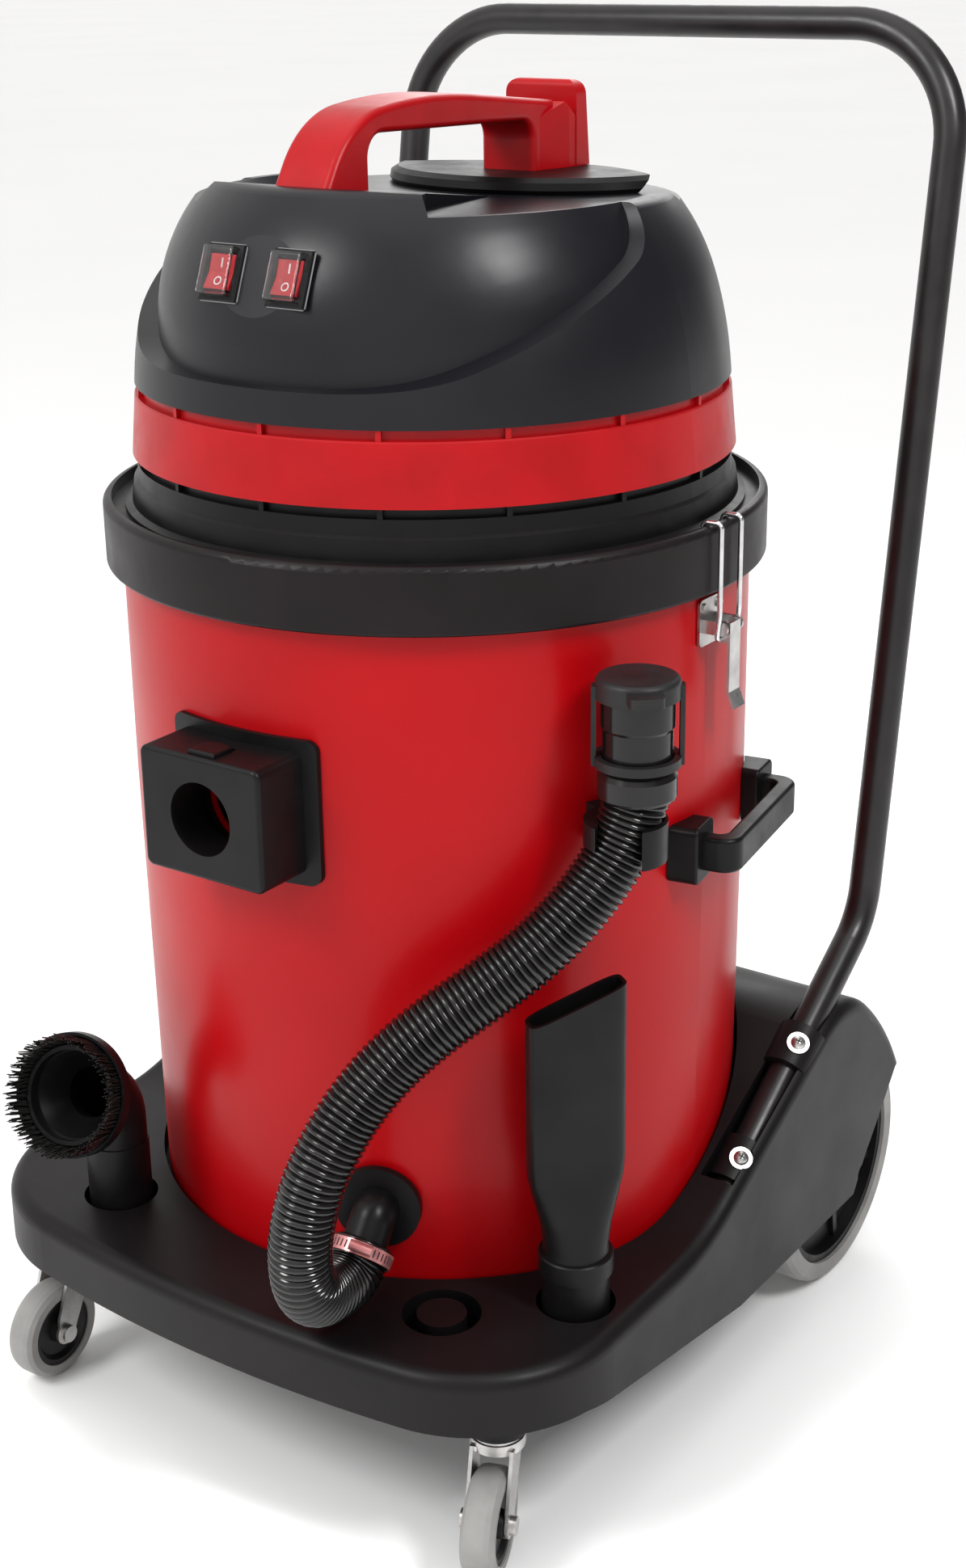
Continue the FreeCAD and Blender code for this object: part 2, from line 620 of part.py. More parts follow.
def make_drain():
    out = radial(DRAIN_TURN)
    disc = outside_tank(cyl(30, out * (TANK_R - 10) + V(0, 0, DRAIN_Z), out, 15))
    start = out * (TANK_R - 4) + V(0, 0, DRAIN_Z)
    exit_point = V(*HOSE_ROUTE[0])
    corner = out * (TANK_R + 13) + V(0, 0, DRAIN_Z)
    wire = route_wire([start, corner, exit_point], [9])
    elbow = pipe(wire, 15.5).fuse(disc)
    elbow = elbow.cut(pipe(wire, 12.5))
    add("drain_elbow", elbow.removeSplitter())


def make_hose():
    points = [V(*p) for p in HOSE_ROUTE]
    radii = []
    for i in range(1, len(points) - 1):
        back = points[i - 1] - points[i]
        ahead = points[i + 1] - points[i]
        turn = math.pi - back.getAngle(ahead)
        radii.append(0.45 * min(back.Length, ahead.Length) / math.tan(turn / 2))
    wire = route_wire(points, radii)
    hose = pipe(wire, HOSE_R)
    print("hose radii", [round(r) for r in radii], "length", round(wire.Length, 1))
    print("hose volume / (section x length)", hose.Volume / (math.pi * HOSE_R ** 2 * wire.Length))
    add("drain_hose", hose)

    end = points[-1]
    x, y, z = end.x, end.y, end.z
    cuff = turned([(18, 0), (24.5, 0), (25.5, 2), (25.5, 15), (24, 18), (22.5, 20), (22.5, 46), (23.5, 48),
                   (23.5, CUFF_LEN - 1), (22.5, CUFF_LEN), (18, CUFF_LEN)])
    cuff.translate(end)
    add("hose_cuff", cuff)
    top = z + CUFF_LEN + GAP
    cap = rounded(post(27, top, top + 14, x, y), 4, lambda e: e.BoundBox.ZMin > top + 13)
    tab = rounded(box(x, x + 40, y - 11, y + 11, top + 4, top + 11), 5, lambda e: e.BoundBox.ZLength > 5)
    cap = cap.fuse(spun(tab, -50, x, y)).fuse(post(18 - GAP, top - 12, top + 1, x, y))
    ring_z = z + 22
    cap = cap.fuse(ring(28, 23.5, ring_z, ring_z + 6, x, y))
    for turn in (35, -145):
        strap = box(26.3, 29.3, -4.5, 4.5, ring_z, top + 8)
        strap.translate(V(x, y, 0))
        cap = cap.fuse(spun(strap, turn, x, y))
    add("drain_cap", cap.removeSplitter())
    make_clamp_and_clip()


def make_clamp_and_clip():
    a = V(*HOSE_ROUTE[0])
    b = V(*HOSE_ROUTE[1])
    along = (b - a).normalize()
    band = cyl(HOSE_R + 1.2, a + along * 3, along, 9).cut(cyl(HOSE_R + 0.02, a, along, 20))
    side = along.cross(radial(DRAIN_TURN)).normalize()
    up = side.cross(along)
    lug = cyl(3.6, a + along * 7.5 + up * (HOSE_R + 3.8) - side * 8, side, 16)
    add("hose_clamp", band.fuse(lug))

    spot = V(*HOSE_ROUTE[-2]) + V(0, 0, 2)
    clip = ring(27, HOSE_R - 3, -13, 13)
    clip.translate(spot)
    gap = box(0, 60, -15, 15, -20, 20)
    gap.rotate(V(0, 0, 0), Z, 20 - 90)
    gap.translate(spot)
    arm = box(200, 238, -7, 7, -13, 13)
    arm.rotate(V(0, 0, 0), Z, math.degrees(math.atan2(spot.y, spot.x)))
    arm.translate(V(0, 0, spot.z))
    arm = arm.cut(post(HOSE_R + 1.2, 400, 600, spot.x, spot.y))
    clip = clip.cut(gap).fuse(outside_tank(arm)).cut(NODES["drain_hose"]).removeSplitter()
    add("hose_clip", clip)


# ---------------------------------------------------------------- motor head

def make_head_rings():
    skirt = walk((RIM_R - 3.5, RIM_Z), 0, [1.0, (2.5, 90), RIM_TOP - RIM_Z - 7.5, (5, 90)])
    inside = [(RIM_R - 6, RIM_TOP), (RIM_R - 6, GROOVE_Z), (205, GROOVE_Z), (205, GROOVE_Z - 5),
              (RIM_R - 3.5, GROOVE_Z - 5)]
    add("rim_flange", revolved(closed(skirt, inside)))

    foot = GROOVE_Z + 0.1
    base = turned([(120, foot), (216, foot), (216, foot + 3), (211, foot + 5), (209, 680), (206.5, 682),
                   (205.5, 692), (201, 692), (201, 704), (198, 704), (198, foot + 5), (120, foot + 5)])
    red = turned([(208.7, RING_Z), (204.9, RING_TOP - 1), (203.9, RING_TOP), (200, RING_TOP), (200, DOME_Z + 4),
                  (197.5, DOME_Z + 4), (197.5, RING_TOP - 6), (201.5, RING_TOP - 6), (205.5, RING_Z)])
    base_tabs = []
    red_tabs = []
    for i in range(16):
        angle = 22.5 * i + 4
        base_tabs.append(spun(box(200.5, 205.2, -1.8, 1.8, 691.9, RING_Z - 0.1), angle))
        red_tabs.append(spun(box(199.5, 203.4, -1.8, 1.8, RING_TOP - 1, DOME_Z - 0.1), angle))
    floor = ring(130, 24, foot, foot + 4).fuse(ring(152, 148, foot + 4, MOTOR_Z))
    deck = post(152, MOTOR_Z - 3, MOTOR_Z)
    for side in (-1, 1):
        deck = deck.cut(post(30, MOTOR_Z - 4, MOTOR_Z + 1, side * MOTOR_X, 0))
    add("head_base", base.fuse(base_tabs + [floor, deck]).removeSplitter())
    add("exhaust_ring", red.fuse(red_tabs).removeSplitter())


def dome_profile(start, heading, moves):
    """Solid of revolution under an outline that ends level at the top."""
    edges = walk(start, heading, moves)
    top = edges[-1].Vertexes[-1].Point
    return revolved(closed(edges, [(0, top.y), (0, start[1])]))


def half_space(y, z, tilt):
    """A large block behind the switch panel's plane."""
    block = box(-400, 400, 0, 600, -400, 400)
    block.rotate(V(0, 0, 0), X, -tilt)
    block.translate(V(0, y, z))
    return block


def make_dome():
    shell = dome_profile((DOME_R, DOME_Z), 94, [(300.0, 13), (150.0, 22), (10.0, 51)])
    rim = max(v.Z for v in shell.Vertexes)
    dish = turned([(0, DISH_Z), (144, DISH_Z), (152, rim + 1), (0, rim + 1)])
    front = dome_profile((193.5, DOME_Z), 91.5, [44.0, (125.0, 45), (15.3, 43.5)])
    narrow = FreeCAD.Matrix()
    narrow.scale(0.935, 1, 1)
    front = front.transformGeometry(narrow).common(half_space(PANEL_Y, SWITCH_Z, PANEL_TILT))
    platform = [(-160, -178), (-97.7, -132.4), (-84, -122.4), (-26, -40), (-26, 30), (26, 30), (26, -40),
                (84, -122.4), (97.7, -132.4), (160, -178), (160, -260), (-160, -260)]
    plan = Part.Face(Part.makePolygon([V(x, y, 0) for x, y in platform + [platform[0]]]))
    raised = front.common(slab(plan, DISH_Z, PLATFORM_Z + 20)).common(below_platform(0))
    front = front.common(box(-300, 300, -300, 300, 0, rim))
    cut = closed(walk((-260, 768), 0, [62.0, (120.0, 25.5), 130.0, (48.0, 64.5), 60.0]), [(-260, 940)])
    above = side_slab(cut, 300)
    rear_top = box(-150, 150, 45, 300, DISH_Z, rim + 1)
    dome = shell.cut(above).fuse(front.common(above)).cut(dish).cut(rear_top).fuse(raised).removeSplitter()
    hollow = dome_profile((188, DOME_Z - 2), 92, [46.0, (112.0, 32)]).transformGeometry(narrow)
    hollow = hollow.common(half_space(PANEL_Y + 4, SWITCH_Z, PANEL_TILT)).common(box(-300, 300, -300, 300, 0, 856))
    dome = dome.cut(hollow).cut(post(201, DOME_Z - 2, 762)).removeSplitter()
    for side in (-1, 1):
        dome = dome.cut(panel_box(side, 24, 29, 30))
    dome = dome.cut(cyl(9, (0, 150, 800), (0, 1, 0), 80))
    add("head_dome", dome)


def below_platform(gap):
    """A large block under the sloping top of the raised platform."""
    block = box(-400, 400, -200, 600, -400, gap)
    block.rotate(V(0, 0, 0), X, -PLATFORM_SLOPE)
    block.translate(V(0, PLATFORM_Y, PLATFORM_Z))
    return block


def panel_place(side):
    """Placement on the switch panel: local z is the panel's outward normal."""
    tilt = FreeCAD.Rotation(X, 90 - PANEL_TILT)
    return FreeCAD.Placement(V(side * SWITCH_X, PANEL_Y, SWITCH_Z), tilt)


def panel_box(side, w, h, depth, lo=None):
    lo = -depth / 2 if lo is None else lo
    solid = box(-w / 2, w / 2, -h / 2, h / 2, lo, lo + depth)
    solid.Placement = panel_place(side)
    return solid


def make_switches():
    for name, side in (("right", 1), ("left", -1)):
        bezel = box(-15, 15, -18, 18, 0.1, 3.2)
        bezel = rounded(bezel, 1.2, lambda e: e.BoundBox.ZMin > 3)
        bezel = bezel.fuse(box(-11.6, 11.6, -14.1, 14.1, -20, 1))
        bezel = bezel.cut(box(-10, 10, -12.6, 12.6, -16, 10))
        outline = [V(-9.6, -11.2, -8), V(-9.6, -11.2, 5.4), V(-9.6, 0, 2.8), V(-9.6, 11.2, 3.4), V(-9.6, 11.2, -8)]
        rocker = Part.Face(Part.makePolygon(outline + [outline[0]])).extrude(V(19.2, 0, 0))
        rocker = rocker.common(cyl(12.0, (-20, 0, -2), (1, 0, 0), 40).fuse(box(-20, 20, -13, 13, -2, 20)))
        cover = box(-12.5, 12.5, -15.5, 15.5, 3.2, 10.4)
        cover = rounded(cover, 2.0, lambda e: e.BoundBox.ZMax > 5)
        cover = cover.cut(box(-11.7, 11.7, -14.7, 14.7, 3, 9.6))
        for label, solid in (("bezel", bezel), ("rocker", rocker), ("cover", cover)):
            piece = solid.removeSplitter()
            piece.Placement = panel_place(side)
            add(f"switch_{label}_{name}", piece)


def make_carry_handle():
    """Hand bar from the platform to the hook post, which stands on the cord plate."""
    foot_z = PLATFORM_Z + 0.1
    foot_back = 43.0
    gap_z = foot_z - foot_back * math.tan(math.radians(PLATFORM_SLOPE))
    post_z = PLATE_TOP + 0.1
    arch = walk((PLATFORM_Y, foot_z), 58, [14.0, (72.0, -51), (450.0, -13), 95.0])
    far = arch[-1].Vertexes[-1].Point
    gap = walk((93, post_z), 90, [21.0, (14.0, 88.5), 157.0, (15.0, 91.5)])
    low = gap[-1].Vertexes[-1].Point
    foot = (low.x, gap_z)
    face = closed(arch + [Part.makeLine(far, V(far.x, post_z, 0)), Part.makeLine(V(far.x, post_z, 0), V(93, post_z, 0))]
                  + gap, [foot])
    handle = rounded(side_slab(face, 22.5), 4.5, is_rim)

    side = closed(walk((136, post_z), 90, [54.0, (5.0, -90), 2.0, (5.0, -84)]), [(153, post_z)])
    hook = side_slab(side, 30).common(front_slab(closed(walk((-30, post_z), 90, [49.0, (10.0, -90), 40.0, (10.0, -90)]),
                                                        [(30, post_z)]), 130, 160))
    plan = [(-21, 94), (21, 94), (29, 128), (29.5, 140), (-29.5, 140), (-29, 128)]
    flare = Part.Face(Part.makePolygon([V(x, y, 0) for x, y in plan + [plan[0]]]))
    web = closed(walk((94, post_z), 90, [20.0, (20.0, -70), 18.0]), [(141, 902), (141, post_z)])
    flare = slab(flare, post_z, 930).common(side_slab(web, 40))
    add("carry_handle", handle.fuse([hook, flare]).removeSplitter())


def front_slab(face, y0, y1):
    """A prism of an (x, z) outline between two places along Y."""
    solid = face.copy()
    solid.rotate(V(0, 0, 0), X, 90)
    solid = solid.extrude(V(0, y1 - y0, 0))
    solid.translate(V(0, y0, 0))
    return solid


def is_rim(edge):
    """True for outline edges on a side face, but not for the flat foot edges."""
    b = edge.BoundBox
    return b.XLength < 0.1 and b.ZMax > PLATFORM_Z + 0.5


def make_cord_plate():
    rims = []
    for z, inset in ((DISH_Z + 0.1, 2), (DISH_Z + 3, 0), (PLATE_TOP - 3, 1), (PLATE_TOP, 6)):
        rims.append(Part.Wire([Part.Ellipse(V(0, 125, z), 112 - inset, 82 - inset).toShape()]))
    plate = Part.makeLoft(rims, True, True)
    add("cord_hook_plate", plate.common(Part.makeCone(143.4, 158.4, 16, V(0, 0, DISH_Z))))


# ---------------------------------------------------------------- inside the head

def make_insides():
    for name, side in (("right", 1), ("left", -1)):
        x = side * MOTOR_X
        can = post(66, MOTOR_Z + 0.1, 780, x, 0).fuse(post(48, 780, 836, x, 0))
        can = can.cut(post(62, MOTOR_Z + 4, 776, x, 0)).cut(post(44, 770, 832, x, 0))
        can = can.cut(post(30, MOTOR_Z - 2, MOTOR_Z + 6, x, 0)).cut(post(7 + PIN_FIT, 831, 834, x, 0))
        add(f"motor_housing_{name}", can)
        rotor = post(7, 690, 833.8, x, 0).fuse(post(56, 700, 730, x, 0)).fuse(post(32, 776, 822, x, 0))
        add(f"motor_rotor_{name}", rotor)
    cage = ring(103, 100, 462, 661).fuse(post(103, 462, 466)).fuse(ring(134, 101, 657, 661))
    cage = cage.fuse(ring(36, 33, 465, 490))
    for i in range(8):
        cage = cage.cut(spun(box(60, 130, -24, 24, 490, 630), 45 * i))
    add("filter_cage", cage)
    add("filter", ring(114, 103.3, 470, 656.7))
    add("float_ball", Part.makeSphere(30, V(0, 0, 496.2)))
    gland = cyl(8.5, (0, 176, 800), (0, 1, 0), 30).fuse(cyl(13, (0, 201, 800), (0, 1, 0), 6))
    add("cord_gland", gland.cut(cyl(4.2, (0, 170, 800), (0, 1, 0), 60)))


# ---------------------------------------------------------------- cleaning tools

def oval(half_w, half_t, z, square):
    """Closed curve: a circle or ellipse for square = 2, boxier for larger values."""
    points = []
    for i in range(24):
        a = 2 * math.pi * i / 24
        c, d = math.cos(a), math.sin(a)
        x = math.copysign(abs(c) ** (2 / square), c) * half_w
        y = math.copysign(abs(d) ** (2 / square), d) * half_t
        points.append(V(x, y, z))
    curve = Part.BSplineCurve()
    curve.interpolate(points, PeriodicFlag=True)
    return Part.Wire([curve.toShape()])


TOOL_Z = SOCKET_FLOOR + 0.3
NECK_R = 23.0
NECK_BORE = SOCKET_POST_R + 1.0


def make_crevice_tool():
    def flare(wall):
        return Part.makeLoft([oval(NECK_R - 1 - wall, NECK_R - 1 - wall, 198, 2),
                              oval(25 - wall, 18.5 - wall, 225, 2.4),
                              oval(32 - wall, 12 - wall, 262, 4),
                              oval(33 - wall, 11 - wall, 340, 4.5),
                              oval(33.5 - wall, 10.5 - wall, 406, 4.5)], True, False)

    tool = flare(0).cut(flare(2.2)).fuse(ring(NECK_R, NECK_BORE, TOOL_Z, 200))
    tool = tool.fuse(ring(NECK_R + 2.5, NECK_R - 3.2, 186, 200)).cut(post(NECK_BORE, 150, 199.5))
    mouth = box(-200, 200, -200, 200, 0, 200)
    mouth.rotate(V(0, 0, 0), Y, -18)
    mouth.translate(V(0, 0, 384))
    tool = tool.cut(mouth)
    tool.rotate(V(0, 0, 0), Z, math.degrees(math.atan2(CREVICE_XY[0], -CREVICE_XY[1])))
    tool.translate(V(*CREVICE_XY, 0))
    add("crevice_tool", tool.removeSplitter())


BRUSH_FACE = (-131.0, -265.0, 264.0)   # middle of the ring that holds the bristles
BRUSH_RING_R = 44.0


def make_brush():
    elbow = V(*BRUSH_XY, 245)
    face = V(*BRUSH_FACE)
    out = (face - elbow).normalize()
    low = V(*BRUSH_XY, 205)
    bend = route_wire([low, elbow, face - out * 14], [36])
    body = pipe(bend, NECK_R - 1).fuse(post(NECK_R, TOOL_Z, 206, *BRUSH_XY))
    funnel = Part.makeCone(NECK_R - 1, BRUSH_RING_R, 20, face - out * 20, out)
    body = body.fuse(funnel).fuse(cyl(BRUSH_RING_R, face - out * 0.5, out, 9))
    hollow = pipe(bend, NECK_BORE).fuse(post(NECK_BORE, TOOL_Z - 1, 206, *BRUSH_XY))
    hollow = hollow.fuse(Part.makeCone(NECK_BORE, BRUSH_RING_R - 12, 22, face - out * 20, out))
    hollow = hollow.fuse(cyl(BRUSH_RING_R - 12, face, out, 20))
    body = body.cut(hollow)
    band = cyl(BRUSH_RING_R - 2, face + out * 3, out, 20).cut(cyl(BRUSH_RING_R - 9, face, out, 40))
    body = body.cut(band).removeSplitter()
    add("brush_body", body)
    start = face + out * 3
    tuft = Part.makeCone(BRUSH_RING_R - 3, BRUSH_RING_R + 0.5, 24, start, out)
    tuft = tuft.cut(Part.makeCone(BRUSH_RING_R - 8.6, BRUSH_RING_R - 7, 26, start - out, out))
    add("brush_bristles", tuft)


def main():
    make_base()
    make_push_handle()
    make_rear_wheels()
    make_casters()
    make_tank()
    make_side_handles()
    make_latches()
    make_inlet()
    make_drain()
    make_hose()
    make_head_rings()
    make_dome()
    make_switches()
    make_carry_handle()
    make_cord_plate()
    make_insides()
    make_crevice_tool()
    make_brush()
    os.makedirs("parts", exist_ok=True)
    for name, shape in NODES.items():
        shape.translate(V(0, -MIDDLE_Y, 0))
        shape.exportStep(f"parts/{name}.step")
        if not shape.isValid():
            print("invalid:", name)
    print(len(NODES), "nodes")


main()
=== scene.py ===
import json
import math
import random

import bpy
from mathutils import Matrix, Vector

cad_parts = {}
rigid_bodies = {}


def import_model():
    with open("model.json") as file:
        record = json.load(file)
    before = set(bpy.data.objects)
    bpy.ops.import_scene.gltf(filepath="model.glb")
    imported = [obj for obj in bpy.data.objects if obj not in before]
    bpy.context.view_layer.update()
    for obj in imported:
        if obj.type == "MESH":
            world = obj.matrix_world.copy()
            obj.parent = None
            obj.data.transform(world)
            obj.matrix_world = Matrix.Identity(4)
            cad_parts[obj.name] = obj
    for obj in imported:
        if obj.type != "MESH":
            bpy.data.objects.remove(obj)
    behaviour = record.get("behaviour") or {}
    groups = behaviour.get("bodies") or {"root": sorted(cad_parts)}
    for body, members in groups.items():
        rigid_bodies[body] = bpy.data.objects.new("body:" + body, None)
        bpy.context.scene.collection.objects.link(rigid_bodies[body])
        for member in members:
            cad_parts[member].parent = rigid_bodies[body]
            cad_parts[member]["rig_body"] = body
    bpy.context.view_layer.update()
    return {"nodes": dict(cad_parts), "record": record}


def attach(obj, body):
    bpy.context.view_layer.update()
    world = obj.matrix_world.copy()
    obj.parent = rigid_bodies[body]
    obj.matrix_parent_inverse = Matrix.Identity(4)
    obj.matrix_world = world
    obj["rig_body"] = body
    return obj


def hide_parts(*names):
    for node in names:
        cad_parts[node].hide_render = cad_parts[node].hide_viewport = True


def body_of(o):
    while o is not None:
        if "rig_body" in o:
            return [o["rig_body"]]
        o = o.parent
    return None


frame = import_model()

NODES = frame["nodes"]
MM = 0.001
MIDDLE_Y = 11.85           # from the tank's axis to the middle of the machine, in mm


def add_object(name, data):
    obj = bpy.data.objects.new(name, data)
    bpy.context.collection.objects.link(obj)
    return obj


# ---------------------------------------------------------------- camera

CAMERA_AT = Vector((0.918, -1.250 - MIDDLE_Y * MM, 1.036))
HEADING = 35.143           # degrees, turned left from straight ahead
PITCH = 19.93              # degrees below level
ROLL = -0.0148             # radians
LENS = 51.78
SENSOR = 36                # in mm, like the lens
SHIFT = (-0.0007, -0.0282)
NEAREST = 0.05


def place_camera():
    pitch = math.radians(PITCH)
    ahead = Matrix.Rotation(math.radians(HEADING), 3, "Z") @ Vector((0, math.cos(pitch), -math.sin(pitch)))
    right = ahead.cross(Vector((0, 0, 1))).normalized()
    up = right.cross(ahead)
    side = right * math.cos(ROLL) + up * math.sin(ROLL)
    top = up * math.cos(ROLL) - right * math.sin(ROLL)
    camera = bpy.data.cameras.new("camera")
    camera.lens = LENS
    camera.sensor_width = SENSOR
    camera.shift_x, camera.shift_y = SHIFT
    camera.clip_start = NEAREST
    obj = add_object("camera", camera)
    basis = Matrix((side, top, -ahead)).transposed().to_4x4()
    obj.matrix_world = Matrix.Translation(CAMERA_AT) @ basis
    bpy.context.scene.camera = obj


place_camera()

# ---------------------------------------------------------------- materials

GLOSS_PATCH = 2.3          # gloss varies in finer patches than colour, by this much
COLOUR_DETAIL = 3.0
GLOSS_DETAIL = 5.0
GRAIN_DETAIL = 2.0
NOISE_ROUGHNESS = 0.55
COAT_ROUGHNESS = 0.1


def new_material(name):
    """A material, its node tree, its shader and the place on the object."""
    mat = bpy.data.materials.new(name)
    mat.use_nodes = True
    tree = mat.node_tree
    coords = tree.nodes.new("ShaderNodeTexCoord").outputs["Object"]
    return mat, tree, tree.nodes["Principled BSDF"], coords


def set_inputs(node, values):
    for key, value in values.items():
        node.inputs[key].default_value = value


def noise(tree, coords, scale, detail=COLOUR_DETAIL):
    node = tree.nodes.new("ShaderNodeTexNoise")
    set_inputs(node, {"Scale": scale, "Detail": detail, "Roughness": NOISE_ROUGHNESS})
    tree.links.new(coords, node.inputs["Vector"])
    return node.outputs["Fac"]


def ramp(tree, factor, low, high, start=0.3, end=0.7):
    node = tree.nodes.new("ShaderNodeValToRGB")
    for stop, position, colour in zip(node.color_ramp.elements, (start, end), (low, high)):
        stop.position = position
        stop.color = colour
    tree.links.new(factor, node.inputs["Fac"])
    return node.outputs["Color"]


def grey(value):
    return (value, value, value, 1)


def finish_coat(name, low, high, rough, spread=0.05, patch=9.0, grain=900.0, bump=0.02, depth=0.0003,
                metallic=0.0, coat=0.0, specular=0.5):
    """Paint, plastic, rubber or metal: uneven colour and gloss, and a fine surface grain."""
    mat, tree, shader, coords = new_material(name)
    colour = ramp(tree, noise(tree, coords, patch), (*low, 1), (*high, 1))
    tree.links.new(colour, shader.inputs["Base Color"])
    gloss = noise(tree, coords, patch * GLOSS_PATCH, GLOSS_DETAIL)
    tree.links.new(ramp(tree, gloss, grey(rough - spread), grey(rough + spread)), shader.inputs["Roughness"])
    if bump:
        relief = tree.nodes.new("ShaderNodeBump")
        set_inputs(relief, {"Strength": bump, "Distance": depth})
        tree.links.new(noise(tree, coords, grain, GRAIN_DETAIL), relief.inputs["Height"])
        tree.links.new(relief.outputs["Normal"], shader.inputs["Normal"])
    set_inputs(shader, {"Metallic": metallic, "Coat Weight": coat, "Coat Roughness": COAT_ROUGHNESS,
                        "Specular IOR Level": specular})
    return mat


def clear_plastic(name):
    mat, tree, shader, coords = new_material(name)
    for socket, scale, low, high in (("Roughness", 60.0, 0.03, 0.12), ("Base Color", 40.0, 0.86, 0.97)):
        shade = ramp(tree, noise(tree, coords, scale), grey(low), grey(high))
        tree.links.new(shade, shader.inputs[socket])
    set_inputs(shader, {"Transmission Weight": 1.0, "IOR": 1.42})
    return mat


BLACK = ((0.0030, 0.0026, 0.0029), (0.0062, 0.0056, 0.0060))
MATS = {
    "tank_paint": finish_coat("tank paint", (0.33, 0.0004, 0.0022), (0.38, 0.0007, 0.0030), 0.34, 0.04,
                              patch=5.0, grain=260.0, bump=0.05, coat=0.04, specular=0.16),
    "red_plastic": finish_coat("red plastic", (0.30, 0.0012, 0.003), (0.37, 0.0022, 0.005), 0.34, 0.05,
                               patch=24.0, grain=1500.0, bump=0.06, specular=0.22),
    "dome_plastic": finish_coat("dome plastic", (0.0030, 0.0030, 0.0045), (0.0055, 0.0055, 0.0080), 0.34,
                                0.03, patch=7.0, grain=1400.0, bump=0.08, specular=0.32),
    "black_plastic": finish_coat("black plastic", *BLACK, 0.38, 0.07, patch=18.0, grain=1500.0, bump=0.12,
                                 specular=0.18),
    "rim_plastic": finish_coat("rim plastic", (0.0045, 0.0028, 0.0032), (0.0085, 0.0056, 0.0064), 0.40,
                               patch=16.0, grain=1300.0, bump=0.12, specular=0.18),
    "base_plastic": finish_coat("base plastic", (0.0040, 0.0033, 0.0037), (0.0078, 0.0066, 0.0072), 0.42,
                                patch=8.0, grain=1100.0, bump=0.16, specular=0.18),
    "tube_paint": finish_coat("tube paint", (0.007, 0.006, 0.0065), (0.013, 0.011, 0.012), 0.34, 0.05,
                              patch=30.0, grain=900.0, bump=0.10, specular=0.40),
    "hub_plastic": finish_coat("hub plastic", *BLACK, 0.46, 0.08, patch=30.0, grain=1300.0, bump=0.15,
                               specular=0.3),
    "hose_plastic": finish_coat("hose plastic", (0.0040, 0.0035, 0.0035), (0.0080, 0.0070, 0.0070), 0.15,
                                0.04, patch=34.0, grain=1200.0, bump=0.03, specular=0.50),
    "gloss_cuff": finish_coat("gloss cuff", (0.004, 0.0035, 0.0035), (0.008, 0.007, 0.007), 0.18, 0.04,
                              patch=20.0, grain=300.0, bump=0.03, specular=0.35),
    "cap_rubber": finish_coat("cap rubber", (0.008, 0.0075, 0.008), (0.016, 0.015, 0.016), 0.48, 0.08,
                              patch=26.0, grain=1300.0, bump=0.2, specular=0.3),
    "seal_rubber": finish_coat("seal rubber", *BLACK, 0.7, 0.08, grain=1300.0, bump=0.2, specular=0.3),
    "tyre_grey": finish_coat("tyre grey", (0.20, 0.195, 0.19), (0.30, 0.295, 0.285), 0.58, 0.08,
                             patch=22.0, grain=700.0, bump=0.3, specular=0.35),
    "zinc": finish_coat("zinc", (0.42, 0.41, 0.40), (0.62, 0.61, 0.60), 0.33, 0.08, patch=60.0, grain=900.0,
                        bump=0.1, metallic=1.0),
    "wire_steel": finish_coat("wire steel", (0.55, 0.55, 0.56), (0.75, 0.75, 0.76), 0.18, 0.05, patch=50.0,
                              grain=900.0, bump=0.05, metallic=1.0),
    "motor_steel": finish_coat("motor steel", (0.30, 0.30, 0.31), (0.45, 0.45, 0.46), 0.4, 0.1,
                               metallic=1.0),
    "clamp_steel": finish_coat("clamp band", (0.50, 0.16, 0.16), (0.66, 0.30, 0.29), 0.32, 0.08, patch=60.0,
                               metallic=0.6),
    "switch_red": finish_coat("rocker red", (0.42, 0.004, 0.008), (0.54, 0.008, 0.013), 0.22, 0.05,
                              patch=50.0, specular=0.45),
    "filter_cloth": finish_coat("filter cloth", (0.62, 0.60, 0.55), (0.78, 0.76, 0.70), 0.9, grain=300.0,
                                bump=0.5, depth=0.001),
    "float_plastic": finish_coat("float plastic", (0.66, 0.65, 0.61), (0.80, 0.79, 0.74), 0.5, 0.06),
    "bristle": finish_coat("bristle", (0.004, 0.004, 0.004), (0.014, 0.013, 0.012), 0.5, 0.1, patch=90.0),
    "clear_plastic": clear_plastic("clear plastic"),
    "mark_white": finish_coat("mark white", (0.72, 0.70, 0.68), (0.85, 0.84, 0.82), 0.4, 0.05, patch=90.0),
    "seal_grey": finish_coat("seal grey", (0.20, 0.20, 0.21), (0.30, 0.30, 0.31), 0.35, 0.05, patch=60.0),
    # Painted shade: a flat near-black colour for thin pieces that stand in for the shade inside the screws'
    # cross recesses and the clamp band's slots
    "dark_recess": finish_coat("painted shade recess", (0.010, 0.009, 0.009), (0.020, 0.019, 0.018), 0.6, 0.05,
                               patch=80.0),
}
for part in frame["record"]["subparts"]:
    materials = NODES[part["node"]].data.materials
    materials.clear()
    materials.append(MATS[part["material_slot"]])

# ---------------------------------------------------------------- mesh helpers

BODY = {node: body_of(obj)[0] for node, obj in NODES.items()}


def at(x, y, z):
    """A place measured from the tank's axis in mm, as the frame has it."""
    return Vector((x, y - MIDDLE_Y, z)) * MM


def spoke(side, other, k, count):
    """Direction of spoke k of count, counted from side towards other."""
    a = 2 * math.pi * k / count
    return side * math.cos(a) + other * math.sin(a)


def rounded_oval(half_w, half_t, square, count):
    """Points round an oval: an ellipse where square is 2, and nearer to a rectangle above that."""
    loop = []
    for k in range(count):
        a = 2 * math.pi * k / count
        c, d = math.cos(a), math.sin(a)
        loop.append((math.copysign(abs(c) ** (2 / square), c) * half_w,
                     math.copysign(abs(d) ** (2 / square), d) * half_t))
    return loop


